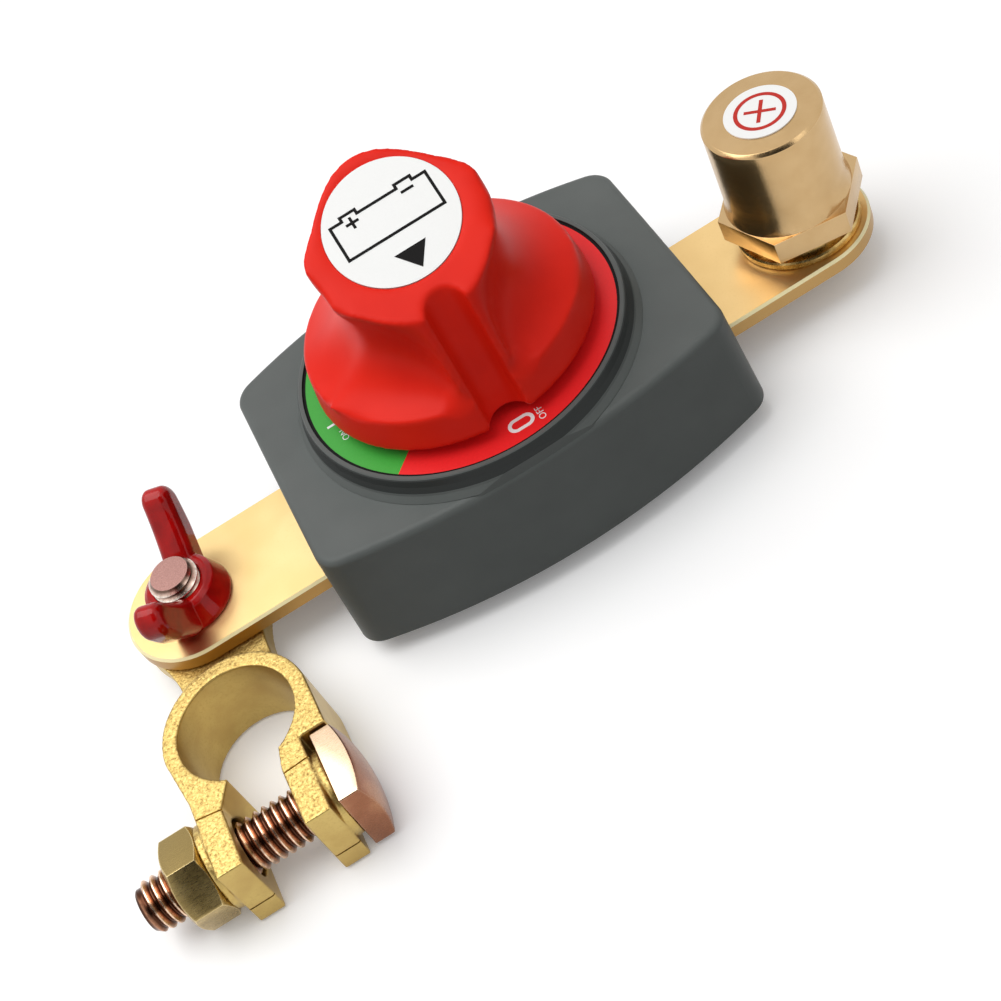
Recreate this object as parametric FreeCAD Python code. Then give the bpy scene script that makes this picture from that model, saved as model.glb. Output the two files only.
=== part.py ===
import FreeCAD, Part
import math
import os

Vector = FreeCAD.Vector
UP = Vector(0, 0, 1)
ALONG_X = Vector(1, 0, 0)

# Battery disconnect switch in millimetres. The knob turns about Z, the bars run along X.
# The origin is on the knob's axis, in the plane of the housing's foot. -Y is the pointer side.

# Cutters run this far past what they cut
past = 1.0

# Housing
case_half_length = 35.6
case_half_depth = 28.2
case_side_bow = 5.8
case_corner_radius = 4.2
case_draft_deg = 3.2
case_height = 20.4
case_wall = 2.6
roof_thickness = 3.2
roof_dome_radius = 460.0
roof_edge_radius = 1.2
plinth_radius = 26.5
plinth_height = 2.9
plinth_flare = 1.5
plinth_edge = 0.3
plinth_inset = 0.25
bezel_depth = 0.6
boss_radius = 3.2
boss_inset = 6.6
rib_thickness = 2.0
rib_distance = 24.0

# Base cover and its screws
cover_thickness = 3.0
cover_gap = 0.1
cover_screw_radius = 1.5
cover_screw_length = 9.0
cover_head_radius = 2.8
cover_head_height = 1.9
cover_head_chamfer = 0.5
cover_cross_reach = 1.9
pilot_radius = 1.5
cross_half_width = 0.45
cross_depth = 0.8

# Dial plate
dial_radius = 25.6
dial_hole_radius = 8.0
dial_thickness = 0.3
green_from_deg = 135.0
green_span_deg = 90.0

# Contact bars
bar_width = 22.5
bar_thickness = 3.0
bar_edge = 0.4
input_reach = 56.4
output_reach = 55.6
bar_inner_gap = 16.0
slot_gap = 0.15

# Rotor, bridge, spring and seal inside the housing
fit_clearance = 0.05
rotor_radius = 5.0
rotor_square = 6.6
pivot_radius = 3.0
pivot_depth = 1.8
pivot_boss_radius = 5.6
pivot_boss_height = 2.2
rotor_flange_radius = 9.0
rotor_flange_height = 1.8
bushing_radius = 8.2
bushing_drop = 2.2
bridge_length = 42.0
bridge_width = 13.0
bridge_thickness = 3.0
spring_sheet = 0.9
spring_rim_radius = 8.0
seal_section = 1.7
seal_edge = 0.3

# Knob
knob_gap = 2.1
knob_skirt_radius = 22.7
knob_skirt_height = 5.8
knob_draft = 0.15
knob_top_height = 28.8
knob_top_radius = 13.5
knob_top_offset = 6.5
knob_top_tilt_deg = 23.0
knob_waist_radius = 12.6
knob_ledge = 0.2
nose_half_width = 4.3
nose_root_deg = 52.0
nose_blend = 5.0
nose_flare = 0.12
heel_rise = 0.5
heel_waist = 1.15
back_points = 12
core_inset = 5.1
core_rise = 6.0
groove_radius = 3.1
knob_hub_radius = 7.4
knob_socket_depth = 14.4
label_radius = 9.9
label_thickness = 0.4
label_shift = 1.7
knob_screw_radius = 2.0
knob_screw_head_radius = 3.4
knob_screw_head_height = 2.4
knob_screw_length = 9.0
knob_screw_seat = 1.8
knob_cross_reach = 2.4

# Terminal post on the output bar
post_top_radius = 9.3
post_taper = 0.02
post_length = 20.4
post_edge = 0.5
hex_flats = 20.2
hex_height = 4.1
hex_turn_deg = -10.0
hex_chamfer_deg = 30.0
post_bore_spare = 1.0
spring_washer_radius = 9.0
spring_washer_thickness = 2.0
spring_washer_gap = 1.6
spring_washer_cut_deg = 25.0
flat_washer_radius = 10.0
flat_washer_thickness = 1.4
flat_washer_edge = 0.25
washer_hole_radius = 5.3
post_bolt_radius = 5.0
post_bolt_length = 17.0
post_bolt_head_radius = 8.0
post_bolt_head_height = 2.6
post_bolt_head_edge = 1.7
post_label_radius = 5.6
post_label_thickness = 0.2

# Stud and wing nut on the input bar
stud_radius = 4.0
stud_square = 8.0
stud_corner_radius = 4.9
stud_rise = 7.3
stud_head_radius = 8.0
stud_head_height = 2.2
stud_head_edge = 1.5
thread_chamfer = 0.7
wing_hub_radius = 7.1
wing_hub_top_radius = 5.7
wing_hub_height = 4.7
wing_hub_foot = 0.6
wing_reach = 14.7
wing_root_distance = 1.9
wing_tip_height = 12.8
wing_lean_deg = 50.0
wing_thickness = 5.4
wing_tip_tall = 5.2
wing_root_tall = 6.6
wing_edge_radius = 1.6
wing_azimuth_deg = 70.0
wing_hub_edge = 0.6

# Battery clamp
seat_gap = 0.05
tongue_end_radius = 10.9
tongue_neck_half_width = 7.5
tongue_root_half_width = 9.8
tongue_thickness = 4.15
ring_distance = 30.1
ring_bore_radius = 9.35
ring_wall = 2.45
ring_height = 13.6
ring_below_tongue = 2.2
jaw_front_reach = 6.95
jaw_thickness = 4.2
jaw_gap = 9.8
jaw_shift = 1.5
mouth_half_width = 4.2
jaw_hole_radius = 4.6
jaw_bolt_distance = 15.5
pad_radius = 6.6
pad_height = 1.2
jaw_root_rise = 3.4
head_clearance = 0.4
web_drop = 1.5
web_run = 5.4
web_bend = 0.27
web_sink = 1.0

# Clamp bolt and nut
bolt_radius = 4.0
bolt_tail = 5.8
bolt_head_square = 12.8
bolt_head_height = 4.9
bolt_head_dome = 24.3
nut_flats = 12.8
nut_height = 5.7
nut_turn_deg = 42.0
nut_chamfer = 0.2


# Places that follow from the sizes
bar_bottom = cover_thickness
bar_top = bar_bottom + bar_thickness
ceiling = case_height - roof_thickness
plinth_top = case_height + plinth_height
dial_bottom = plinth_top - bezel_depth
dial_top = dial_bottom + dial_thickness
bushing_bottom = ceiling - bushing_drop
seal_bottom = dial_bottom - seal_section
bridge_bottom = bar_top + fit_clearance
bridge_top = bridge_bottom + bridge_thickness
rotor_flange_top = bushing_bottom - fit_clearance
rotor_flange_bottom = rotor_flange_top - rotor_flange_height
knob_bottom = dial_top + knob_gap
knob_hub_bottom = dial_top + fit_clearance * 4
skirt_top = knob_bottom + knob_skirt_height
skirt_top_radius = knob_skirt_radius - knob_draft * knob_skirt_height
knob_top = dial_top + knob_top_height
rotor_top = knob_hub_bottom + knob_socket_depth
washer_top = bar_top + flat_washer_thickness
post_bottom = washer_top + spring_washer_thickness
post_top = post_bottom + post_length
tongue_top = bar_bottom - seat_gap
tongue_bottom = tongue_top - tongue_thickness
ring_bottom = tongue_bottom - ring_below_tongue
ring_top = ring_bottom + ring_height
ring_radius = ring_bore_radius + ring_wall
stud_top = bar_top + stud_rise
wing_bottom = bar_top + seat_gap
bolt_y = -ring_distance - jaw_bolt_distance
bolt_z = ring_bottom + ring_height / 2
jaw_front = bolt_y - jaw_front_reach
jaw_middle = -input_reach - jaw_shift
left_face = jaw_middle - jaw_gap / 2
right_face = jaw_middle + jaw_gap / 2
nut_seat = left_face - jaw_thickness - pad_height
head_seat = right_face + jaw_thickness + pad_height


def cylinder(radius, bottom, top, x=0.0, y=0.0):
    return Part.makeCylinder(radius, top - bottom, Vector(x, y, bottom), UP)


def cone(bottom_radius, top_radius, bottom, top, x=0.0, y=0.0):
    return Part.makeCone(bottom_radius, top_radius, top - bottom, Vector(x, y, bottom), UP)


def block(low, high):
    return Part.makeBox(high.x - low.x, high.y - low.y, high.z - low.z, low)


def prism(points, height_vector):
    return Part.Face(Part.makePolygon(points + [points[0]])).extrude(height_vector)


def hexagon(flats, bottom, top, x=0.0, turn_deg=0.0):
    corner = flats / math.sqrt(3)
    points = []
    for side in range(6):
        angle = math.radians(60 * side + turn_deg)
        points.append(Vector(x + corner * math.cos(angle), corner * math.sin(angle), bottom))
    return prism(points, Vector(0, 0, top - bottom))


def cross_slot(reach, bottom, top, x=0.0, y=0.0):
    half = cross_half_width
    long_way = block(Vector(x - reach, y - half, bottom), Vector(x + reach, y + half, top))
    other_way = block(Vector(x - half, y - reach, bottom), Vector(x + half, y + reach, top))
    return long_way.fuse(other_way)


def threaded_end(radius, bottom, top, x=0.0):
    shank = cylinder(radius, bottom, top - thread_chamfer, x)
    return shank.fuse(cone(radius, radius - thread_chamfer, top - thread_chamfer, top, x))


def save(shape, node):
    shape.exportStep("parts/" + node + ".step")


# Housing shell: bowed long sides, straight ends, draft all round
def case_wire(inset, height):
    shrink = inset + height * math.tan(math.radians(case_draft_deg))
    length = case_half_length - shrink
    depth = case_half_depth - shrink
    corner = depth - case_side_bow
    near = Part.Arc(
        Vector(-length, -corner, height), Vector(0, -depth, height), Vector(length, -corner, height))
    far = Part.Arc(
        Vector(length, corner, height), Vector(0, depth, height), Vector(-length, corner, height))
    right = Part.makeLine(Vector(length, -corner, height), Vector(length, corner, height))
    left = Part.makeLine(Vector(-length, corner, height), Vector(-length, -corner, height))
    return Part.Wire([near.toShape(), right, far.toShape(), left])


def case_block(inset, bottom, top, radius):
    body = Part.makeLoft([case_wire(inset, bottom), case_wire(inset, top)], True, True)
    upright = [edge for edge in body.Edges if edge.BoundBox.ZLength > 0.5 * (top - bottom)]
    return body.makeFillet(radius, upright)


def boss_places():
    x = case_half_length - boss_inset
    y = case_half_depth - case_side_bow - boss_inset + roof_edge_radius
    return [(x, y), (-x, y), (-x, -y), (x, -y)]


def plinth_profile():
    foot = plinth_radius + plinth_flare
    corners = [
        (0, ceiling),
        (foot, ceiling),
        (foot, case_height - 0.5 * plinth_flare),
        (foot - 0.5 * plinth_flare, case_height + 0.1 * plinth_flare),
        (foot - 0.85 * plinth_flare, case_height + plinth_flare),
        (plinth_radius, plinth_top - plinth_edge),
        (plinth_radius - plinth_edge, plinth_top),
        (0, plinth_top)]
    points = [Vector(x, 0, z) for x, z in corners]
    return Part.Face(Part.makePolygon(points + [points[0]]))


def housing_walls():
    dome = Part.makeSphere(roof_dome_radius, Vector(0, 0, case_height - roof_dome_radius))
    body = case_block(0, 0, case_height + plinth_height, case_corner_radius).common(dome)
    rim = [edge for edge in body.Edges if edge.BoundBox.ZMin > ceiling]
    return body.makeFillet(roof_edge_radius, rim)


def housing_hollow():
    hollow = case_block(case_wall, -past, ceiling, case_corner_radius - case_wall)
    keep = cylinder(bushing_radius, bushing_bottom, ceiling)
    for x, y in boss_places():
        keep = keep.fuse(cylinder(boss_radius, cover_thickness, ceiling, x, y))
    half = bar_width / 2
    for side in (-1, 1):
        near = side * rib_distance
        far = side * (rib_distance + rib_thickness)
        low = Vector(min(near, far), -half, bar_top)
        keep = keep.fuse(block(low, Vector(max(near, far), half, ceiling)))
    return hollow.cut(keep)


def bar_slot(side):
    half = bar_width / 2 + slot_gap
    far = side * (case_half_length + past)
    near = side * (case_half_length - 3 * case_wall)
    low = Vector(min(near, far), -half, bar_bottom)
    return block(low, Vector(max(near, far), half, bar_top + slot_gap))


def make_housing():
    plinth = plinth_profile().revolve(Vector(0, 0, 0), UP, 360)
    plinth = plinth.common(case_block(plinth_inset, 0, plinth_top + past, case_corner_radius))
    body = housing_walls().fuse(plinth).cut(housing_hollow())
    shaft_hole = rotor_radius + fit_clearance
    body = body.cut(cylinder(dial_radius + fit_clearance, dial_bottom, plinth_top + past))
    body = body.cut(cylinder(shaft_hole, 0, plinth_top))
    body = body.cut(cylinder(shaft_hole + seal_section, seal_bottom, plinth_top))
    for x, y in boss_places():
        body = body.cut(cylinder(pilot_radius, 0, cover_screw_length + cover_thickness, x, y))
    for side in (-1, 1):
        body = body.cut(bar_slot(side))
    return body.removeSplitter()


# Base cover with the rotor's lower pivot and the screw holes
def make_base_cover():
    plate = case_block(case_wall + cover_gap, 0, cover_thickness, case_corner_radius - case_wall)
    plate = plate.fuse(cylinder(pivot_boss_radius, 0, cover_thickness + pivot_boss_height))
    pocket = cover_thickness + pivot_boss_height - pivot_depth * 2
    plate = plate.cut(cylinder(pivot_radius + fit_clearance, pocket, bar_top + past))
    for x, y in boss_places():
        plate = plate.cut(cylinder(cover_screw_radius + cover_gap, -past, cover_thickness + past, x, y))
        plate = plate.cut(cylinder(cover_head_radius + cover_gap, -past, cover_head_height, x, y))
    return plate.removeSplitter()


def make_cover_screws():
    screws = []
    edge = cover_gap + cover_head_chamfer
    for x, y in boss_places():
        head = cone(cover_head_radius - cover_head_chamfer, cover_head_radius, cover_gap, edge, x, y)
        head = head.fuse(cylinder(cover_head_radius, edge, cover_head_height, x, y))
        shank = cylinder(cover_screw_radius, cover_head_height, cover_head_height + cover_screw_length, x, y)
        screw = head.fuse(shank)
        screws.append(screw.cut(cross_slot(cover_cross_reach, 0, cover_gap + cross_depth, x, y)))
    return Part.makeCompound(screws)


# Dial plate: a flat ring in two colours
def make_dial(from_deg, span_deg):
    ring = Part.makeCylinder(dial_radius, dial_thickness, Vector(0, 0, dial_bottom), UP, span_deg)
    ring = ring.cut(cylinder(dial_hole_radius, dial_bottom - past, dial_top + past))
    ring.rotate(Vector(0, 0, 0), UP, from_deg)
    return ring


# Contact bars with a round outer end
def make_bar(side, reach):
    half = bar_width / 2
    inner = side * bar_inner_gap / 2
    outer = side * reach
    bar = block(Vector(min(inner, outer), -half, bar_bottom), Vector(max(inner, outer), half, bar_top))
    bar = bar.fuse(cylinder(half, bar_bottom, bar_top, outer)).removeSplitter()
    edges = [edge for edge in bar.Edges if edge.BoundBox.ZLength < 0.01]
    return bar.makeChamfer(bar_edge, edges)


def stud_column(square, corner, bottom, top):
    side = square / 2
    post = block(Vector(-input_reach - side, -side, bottom), Vector(-input_reach + side, side, top))
    return post.common(cylinder(corner, bottom, top, -input_reach))


def make_input_bar():
    square = stud_square + 2 * fit_clearance
    hole = stud_column(square, stud_corner_radius + fit_clearance, bar_bottom - past, bar_top + past)
    return make_bar(-1, input_reach).cut(hole)


def make_output_bar():
    hole = cylinder(post_bolt_radius + 2 * fit_clearance, bar_bottom - past, bar_top + past, output_reach)
    return make_bar(1, output_reach).cut(hole)


# Switching parts: rotor, bridge, spring, seal
def drive_square(gap, bottom, top):
    half = rotor_square / 2 + gap
    return block(Vector(-half, -half, bottom), Vector(half, half, top))


def make_rotor():
    pivot_end = cover_thickness + pivot_boss_height + fit_clearance
    body = cylinder(pivot_radius, pivot_end - 2 * pivot_depth, pivot_end)
    body = body.fuse(drive_square(0, pivot_end, rotor_flange_bottom))
    body = body.fuse(cylinder(rotor_flange_radius, rotor_flange_bottom, rotor_flange_top))
    body = body.fuse(cylinder(rotor_radius, rotor_flange_top, knob_hub_bottom))
    body = body.fuse(drive_square(0, knob_hub_bottom, rotor_top))
    body = body.cut(cylinder(knob_screw_radius, rotor_top - knob_screw_length, rotor_top + past))
    return body.removeSplitter()


def make_contact_bridge():
    half = bridge_width / 2
    reach = bridge_length / 2 - half
    bar = block(Vector(-half, -reach, bridge_bottom), Vector(half, reach, bridge_top))
    for side in (-1, 1):
        bar = bar.fuse(cylinder(half, bridge_bottom, bridge_top, 0, side * reach))
    return bar.removeSplitter().cut(drive_square(fit_clearance, bridge_bottom - past, bridge_top + past))


def make_contact_spring():
    bottom = bridge_top + fit_clearance
    top = rotor_flange_bottom - fit_clearance
    inner = rotor_square / math.sqrt(2) + fit_clearance
    outline = [
        Vector(spring_rim_radius, 0, bottom),
        Vector(spring_rim_radius, 0, bottom + spring_sheet),
        Vector(inner, 0, top),
        Vector(inner, 0, top - spring_sheet)]
    disc = Part.Face(Part.makePolygon(outline + [outline[0]]))
    return disc.revolve(Vector(0, 0, 0), UP, 360)


def make_shaft_seal():
    inner = rotor_radius + fit_clearance
    ring = cylinder(inner + seal_section, seal_bottom, seal_bottom + seal_section)
    rim = [edge for edge in ring.Edges if edge.BoundBox.ZLength < 0.01]
    ring = ring.makeChamfer(seal_edge, rim)
    return ring.cut(cylinder(inner, seal_bottom - past, seal_bottom + seal_section + past))


# Knob: drafted skirt, waisted handle that leans forward, front rib blended into it
def envelope(bottom, top):
    lower = knob_skirt_radius - knob_draft * (bottom - knob_bottom)
    upper = knob_skirt_radius - knob_draft * (top - knob_bottom)
    return cone(lower, upper, bottom, top)


def section_frame(share, rise_share):
    tilt = math.radians(knob_top_tilt_deg * share)
    centre = Vector(0, -knob_top_offset * share, skirt_top + (knob_top - skirt_top) * rise_share)
    return centre, Vector(0, -math.cos(tilt), -math.sin(tilt))


def handle_sections():
    spread = skirt_top_radius - knob_ledge - knob_waist_radius
    return [
        (0.0, knob_waist_radius + spread, 0.0),
        (0.12, knob_waist_radius + 0.6 * spread, 0.09),
        (0.32, knob_waist_radius + 0.22 * spread, 0.25),
        (0.56, knob_waist_radius, 0.47),
        (0.8, knob_waist_radius, 0.74),
        (1.0, knob_top_radius, 1.0)]


def bezier(start, leave, stop, arrive):
    reach = 0.35 * (stop - start).Length
    curve = Part.BezierCurve()
    curve.setPoles([start, start + leave * reach, stop - arrive * reach, stop])
    return curve.toShape()


def nose_reach(centre, downhill):
    radius = knob_skirt_radius - knob_ledge - knob_draft * (centre.z - knob_bottom)
    return (radius + centre.y) / (-downhill.y + knob_draft * downhill.z)


def handle_wire(share, radius, rise_share):
    centre, downhill = section_frame(share, rise_share)
    root_angle = math.radians(nose_root_deg)
    reach = nose_reach(centre, downhill)
    half = nose_half_width
    tip_sag = half ** 2 / (2 * knob_skirt_radius)
    depth = min((reach - radius) / nose_blend, 1.0)
    wires = {}
    for side in (-1, 1):
        across = Vector(side, 0, 0)
        tip = centre + across * half + downhill * (reach - tip_sag)
        outward = across * math.sin(root_angle) + downhill * math.cos(root_angle)
        root = centre + outward * radius
        circling = across * math.cos(root_angle) - downhill * math.sin(root_angle)
        round_leave = across * (reach - tip_sag) - downhill * half
        leave = round_leave.normalize() * (1 - depth) - downhill * depth + across * (nose_flare * depth)
        wires[side] = (tip, root, circling, bezier(tip, leave.normalize(), root, circling))
    points = []
    for step in range(back_points + 1):
        angle = root_angle + (2 * math.pi - 2 * root_angle) * step / back_points
        back = max(-math.cos(angle), 0.0)
        heel = heel_rise * back ** 4 - heel_waist * (2 * back * math.sin(angle)) ** 2
        bulge = radius + share * heel
        points.append(centre + Vector(bulge * math.sin(angle), 0, 0) + downhill * (bulge * math.cos(angle)))
    rear = Part.BSplineCurve()
    rear.interpolate(points, InitialTangent=wires[1][2], FinalTangent=wires[-1][2] * -1)
    front = Part.Arc(wires[-1][0], centre + downhill * reach, wires[1][0]).toShape()
    return Part.Wire([front, wires[1][3], rear.toShape(), wires[-1][3]])


def handle_loft():
    return Part.makeLoft([handle_wire(*section) for section in handle_sections()], True, False)


def label_place(lift):
    tilt = math.radians(knob_top_tilt_deg)
    normal = Vector(0, -math.sin(tilt), math.cos(tilt))
    uphill = Vector(0, math.cos(tilt), math.sin(tilt))
    centre = Vector(0, -knob_top_offset, knob_top) + uphill * label_shift
    return centre + normal * lift, normal


def knob_groove():
    slope = Vector(0, knob_draft, 1)
    start = Vector(0, -knob_skirt_radius, knob_bottom) - slope * past
    return Part.makeCylinder(groove_radius, (knob_top_height + 2 * past) * slope.Length, start, slope)


def knob_hollow():
    skirt = cylinder(skirt_top_radius - core_inset, knob_bottom - past, skirt_top)
    core = cone(skirt_top_radius - core_inset, knob_hub_radius, skirt_top, skirt_top + core_rise)
    hub = cylinder(knob_hub_radius, knob_bottom - 2 * past, skirt_top + core_rise + past)
    return skirt.fuse(core).cut(hub)


def make_knob():
    body = envelope(knob_bottom, skirt_top).fuse(handle_loft())
    body = body.cut(knob_groove()).cut(knob_hollow())
    body = body.fuse(cylinder(knob_hub_radius, knob_hub_bottom, knob_bottom + past))
    seat = rotor_top + knob_screw_seat
    screw_hole = knob_screw_radius + 2 * fit_clearance
    head_hole = knob_screw_head_radius + 2 * fit_clearance
    body = body.cut(drive_square(fit_clearance, knob_hub_bottom - past, rotor_top))
    body = body.cut(cylinder(screw_hole, rotor_top - past, seat + past))
    body = body.cut(cylinder(head_hole, seat, knob_top + knob_top_radius))
    centre, normal = label_place(-label_thickness)
    return body.cut(Part.makeCylinder(label_radius + fit_clearance, 3 * label_thickness, centre, normal))


def make_knob_label():
    centre, normal = label_place(-label_thickness)
    return Part.makeCylinder(label_radius, label_thickness, centre, normal)


def make_knob_screw():
    seat = rotor_top + knob_screw_seat
    top = seat + knob_screw_head_height
    head = cylinder(knob_screw_head_radius, seat, top)
    shank = cylinder(knob_screw_radius, rotor_top + past - knob_screw_length, seat)
    return head.fuse(shank).cut(cross_slot(knob_cross_reach, top - cross_depth, top + past))


# Terminal post: tapered cap nut with a hexagon foot, its washers, bolt and label
def make_terminal_post():
    foot = post_top_radius + post_taper * post_length
    taper = cone(foot, post_top_radius, post_bottom, post_top, output_reach)
    rim = [edge for edge in taper.Edges if edge.BoundBox.ZMin > post_top - 0.01]
    taper = taper.makeChamfer(post_edge, rim)
    corner = hex_flats / math.sqrt(3)
    slope = math.tan(math.radians(hex_chamfer_deg))
    tall = hex_height + (corner - hex_flats / 2) * slope
    chamfer = cone(corner + tall / slope, hex_flats / 2, post_bottom, post_bottom + tall, output_reach)
    foot_hexagon = hexagon(hex_flats, post_bottom, post_bottom + hex_height, output_reach, hex_turn_deg)
    post = taper.fuse(foot_hexagon.common(chamfer))
    bore_top = bar_bottom + post_bolt_length + post_bore_spare
    bore = cylinder(post_bolt_radius + fit_clearance, post_bottom - past, bore_top, output_reach)
    return post.cut(bore).removeSplitter()


def make_post_label():
    return cylinder(post_label_radius, post_top, post_top + post_label_thickness, output_reach)


def make_spring_washer():
    ring = cylinder(spring_washer_radius, washer_top, post_bottom, output_reach)
    ring = ring.cut(cylinder(washer_hole_radius, washer_top - past, post_bottom + past, output_reach))
    half = spring_washer_gap / 2
    low = Vector(output_reach, -half, washer_top - past)
    slit = block(low, Vector(output_reach + flat_washer_radius, half, post_bottom + past))
    slit.rotate(Vector(output_reach, 0, washer_top), ALONG_X, spring_washer_cut_deg)
    return ring.cut(slit)


def make_flat_washer():
    ring = cylinder(flat_washer_radius, bar_top, washer_top, output_reach)
    rim = [edge for edge in ring.Edges if edge.BoundBox.ZLength < 0.01]
    ring = ring.makeChamfer(flat_washer_edge, rim)
    return ring.cut(cylinder(washer_hole_radius, bar_top - past, washer_top + past, output_reach))


def low_head(radius, edge, bottom, top, x):
    head = cone(radius - edge, radius, bottom, bottom + edge, x)
    return head.fuse(cylinder(radius, bottom + edge, top, x))


def make_post_bolt():
    bottom = bar_bottom - post_bolt_head_height
    head = low_head(post_bolt_head_radius, post_bolt_head_edge, bottom, bar_bottom, output_reach)
    shank = threaded_end(post_bolt_radius, bar_bottom, bar_bottom + post_bolt_length, output_reach)
    return head.fuse(shank).removeSplitter()


# Stud: mushroom head, square neck, threaded end
def make_clamp_stud():
    bottom = tongue_bottom - stud_head_height
    head = low_head(stud_head_radius, stud_head_edge, bottom, tongue_bottom, -input_reach)
    neck = stud_column(stud_square, stud_corner_radius, tongue_bottom, bar_top)
    shank = threaded_end(stud_radius, bar_top, stud_top, -input_reach)
    return head.fuse([neck, shank]).removeSplitter()


# Wing nut: tapered hub with two raised lugs
def make_wing():
    lean = math.radians(wing_lean_deg)
    outward = Vector(math.cos(lean), 0, math.sin(lean))
    upward = Vector(-math.sin(lean), 0, math.cos(lean))
    side = Vector(0, -wing_thickness / 2, 0)
    tip_radius = wing_tip_tall / 2
    root_radius = wing_root_tall / 2
    tip = Vector(wing_reach - tip_radius, 0, wing_tip_height - tip_radius) + side
    root = tip - outward * ((wing_reach - tip_radius - wing_root_distance) / math.cos(lean))
    low_tip = tip - upward * tip_radius
    high_tip = tip + upward * tip_radius
    low_root = root - upward * root_radius
    high_root = root + upward * root_radius
    outline = Part.Wire([
        Part.makeLine(low_root, low_tip),
        Part.Arc(low_tip, tip + outward * tip_radius, high_tip).toShape(),
        Part.makeLine(high_tip, high_root),
        Part.makeLine(high_root, low_root)])
    lug = Part.Face(outline).extrude(Vector(0, wing_thickness, 0))
    flat = [edge for edge in lug.Edges if edge.BoundBox.YLength < 0.01]
    rim = [edge for edge in flat if edge.BoundBox.XMax > root.x + tip_radius]
    lug = lug.makeFillet(wing_edge_radius, rim)
    return lug.cut(cylinder(2 * wing_reach, -wing_tip_height, wing_hub_foot))


def make_wing_nut():
    hub = cylinder(wing_hub_radius, 0, wing_hub_foot)
    hub = hub.fuse(cone(wing_hub_radius, wing_hub_top_radius, wing_hub_foot, wing_hub_height))
    rim = [edge for edge in hub.Edges if edge.BoundBox.ZMin > wing_hub_height - 0.01]
    hub = hub.removeSplitter().makeChamfer(wing_hub_edge, rim)
    lug = make_wing()
    other = lug.copy()
    other.rotate(Vector(0, 0, 0), UP, 180)
    nut = hub.fuse([lug, other])
    nut = nut.cut(cylinder(stud_radius + fit_clearance, -past, wing_tip_height + past))
    nut.rotate(Vector(0, 0, 0), UP, wing_azimuth_deg)
    nut.translate(Vector(-input_reach, 0, wing_bottom))
    return nut.removeSplitter()


# Battery clamp: split ring with two jaws, joined to a flat tongue under the bar
def chain(points):
    return [Part.makeLine(points[i], points[i + 1]) for i in range(len(points) - 1)]


def clamp_outline():
    centre = Vector(-input_reach, -ring_distance, 0)
    outer_left = Vector(centre.x - ring_radius, centre.y, 0)
    outer_right = Vector(centre.x + ring_radius, centre.y, 0)
    outer_far = Vector(centre.x, centre.y + ring_radius, 0)
    bore_far = Vector(centre.x, centre.y + ring_bore_radius, 0)
    mouth_angle = math.asin(mouth_half_width / ring_bore_radius)
    mouth_y = centre.y - ring_bore_radius * math.cos(mouth_angle)
    mouth_left = Vector(centre.x - mouth_half_width, mouth_y, 0)
    mouth_right = Vector(centre.x + mouth_half_width, mouth_y, 0)
    left_out = left_face - jaw_thickness
    right_out = right_face + jaw_thickness
    jaw_root = bolt_y + jaw_root_rise
    shoulder = bolt_y + bolt_head_square / 2 + head_clearance
    edges = chain([
        mouth_right,
        Vector(right_face, jaw_root, 0),
        Vector(right_face, jaw_front, 0),
        Vector(right_out, jaw_front, 0),
        Vector(right_out, shoulder, 0),
        Vector(outer_right.x, shoulder, 0),
        outer_right])
    edges.append(Part.Arc(outer_right, outer_far, outer_left).toShape())
    edges += chain([
        outer_left,
        Vector(left_out, shoulder, 0),
        Vector(left_out, jaw_front, 0),
        Vector(left_face, jaw_front, 0),
        Vector(left_face, jaw_root, 0),
        mouth_left])
    edges.append(Part.Arc(mouth_left, bore_far, mouth_right).toShape())
    return Part.Face(Part.Wire(edges))


def meeting_height(radius, half_width):
    return math.sqrt(radius ** 2 - half_width ** 2)


def clamp_tongue():
    root = tongue_root_half_width
    near_y = -meeting_height(tongue_end_radius, root)
    far_y = -ring_distance + meeting_height(ring_radius, root)
    waist_y = (near_y + far_y) / 2
    corners = [Vector(side * root, y, tongue_bottom) for side in (1, -1) for y in (near_y, far_y)]
    right_near, right_far, left_near, left_far = corners
    right_waist = Vector(tongue_neck_half_width, waist_y, tongue_bottom)
    left_waist = Vector(-tongue_neck_half_width, waist_y, tongue_bottom)
    outline = Part.Wire([
        Part.Arc(right_near, right_waist, right_far).toShape(),
        Part.makeLine(right_far, left_far),
        Part.Arc(left_far, left_waist, left_near).toShape(),
        Part.makeLine(left_near, right_near)])
    tongue = Part.Face(outline).extrude(Vector(0, 0, tongue_thickness))
    tongue.translate(Vector(-input_reach, 0, 0))
    tongue = tongue.fuse(cylinder(tongue_end_radius, tongue_bottom, tongue_top, -input_reach))
    return tongue.cut(ring_column(ring_bore_radius))


def ring_column(radius):
    return cylinder(radius, ring_bottom - past, ring_top + past, -input_reach, -ring_distance)


def clamp_web():
    wall = -ring_distance + ring_radius - web_sink
    inside = wall - web_sink
    foot = wall + web_run
    rise = ring_top - web_drop - tongue_top
    bend = Vector(0, wall + web_bend * web_run, tongue_top + web_bend * rise)
    hollow = Part.Arc(Vector(0, wall, tongue_top + rise), bend, Vector(0, foot, tongue_top)).toShape()
    sides = chain([
        Vector(0, foot, tongue_top),
        Vector(0, foot, tongue_bottom),
        Vector(0, inside, tongue_bottom),
        Vector(0, inside, tongue_top + rise),
        Vector(0, wall, tongue_top + rise)])
    web = Part.Face(Part.Wire([hollow] + sides)).extrude(Vector(2 * tongue_neck_half_width, 0, 0))
    web.translate(Vector(-input_reach - tongue_neck_half_width, 0, 0))
    return web.cut(ring_column(ring_bore_radius + 0.5 * ring_wall))


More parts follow.
